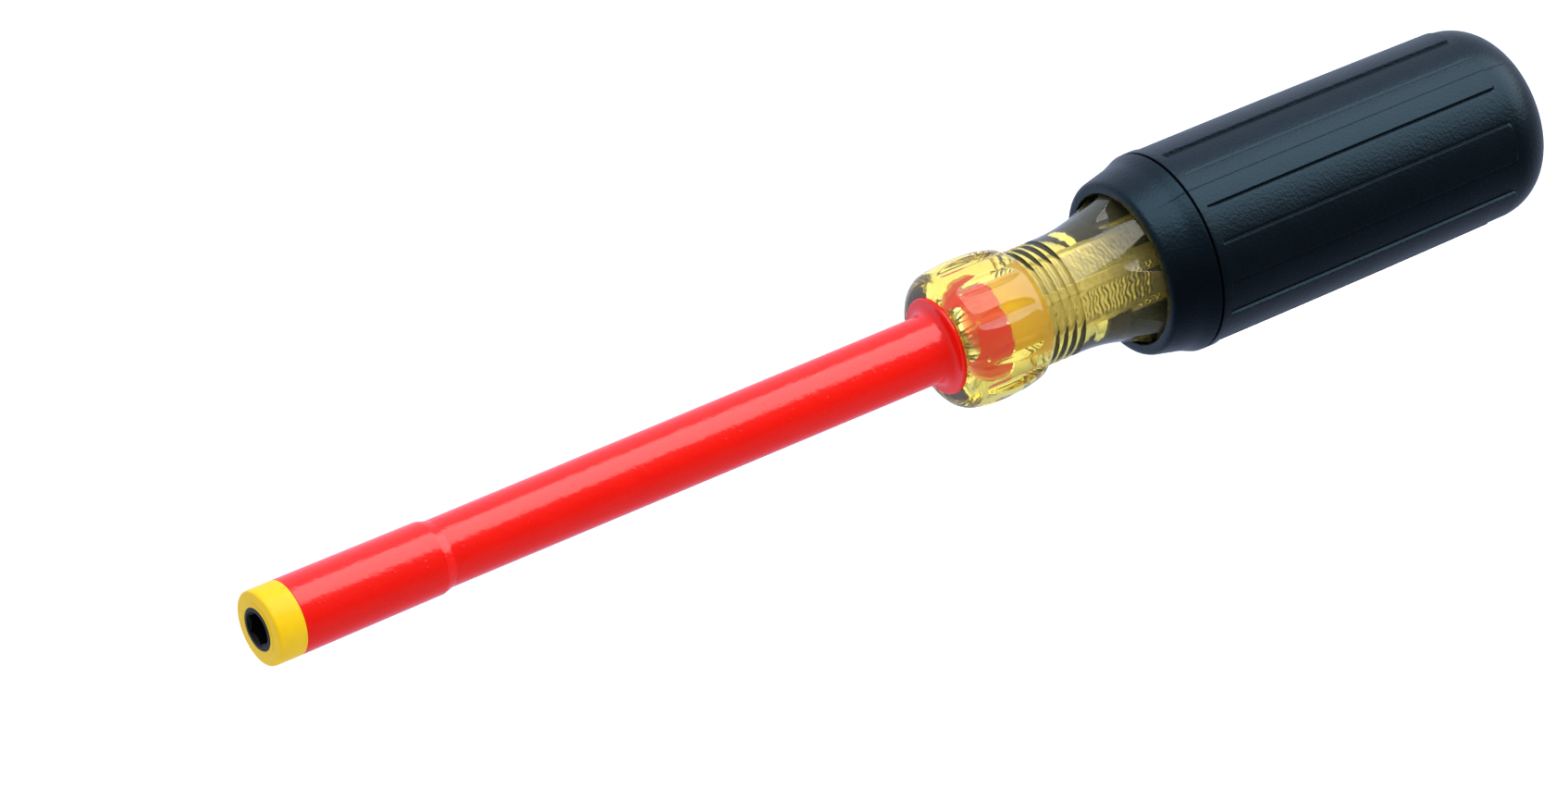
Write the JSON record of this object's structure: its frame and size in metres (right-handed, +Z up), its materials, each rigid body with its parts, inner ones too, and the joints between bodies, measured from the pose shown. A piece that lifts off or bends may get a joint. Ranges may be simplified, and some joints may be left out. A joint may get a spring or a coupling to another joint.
{
  "type": "nut driver",
  "caption": "Insulated hand nut driver: hexagon socket in a steel bar, yellow and red insulated shaft, clear amber fluted handle and black cushion grip.",
  "frame": {"origin": "middle of the socket's mouth, on the tool's axis", "axes": "+X along the tool from the socket's mouth to the butt of the grip, +Z up with a hollow between two grip panels facing down"},
  "size_m": [0.2384, 0.0334, 0.0334],
  "materials": {
    "blackened_steel": "black oxide, satin",
    "yellow_insulation": "moulded, semi-matt",
    "red_insulation": "moulded, semi-gloss",
    "amber_acetate": "clear, polished",
    "black_vinyl": "matt, fine grain"
  },
  "bodies": {
    "root": {"steel_shaft": "blackened_steel", "inner_insulation": "yellow_insulation", "outer_insulation": "red_insulation", "handle": "amber_acetate", "cushion_grip": "black_vinyl"}
  },
  "joints": []
}
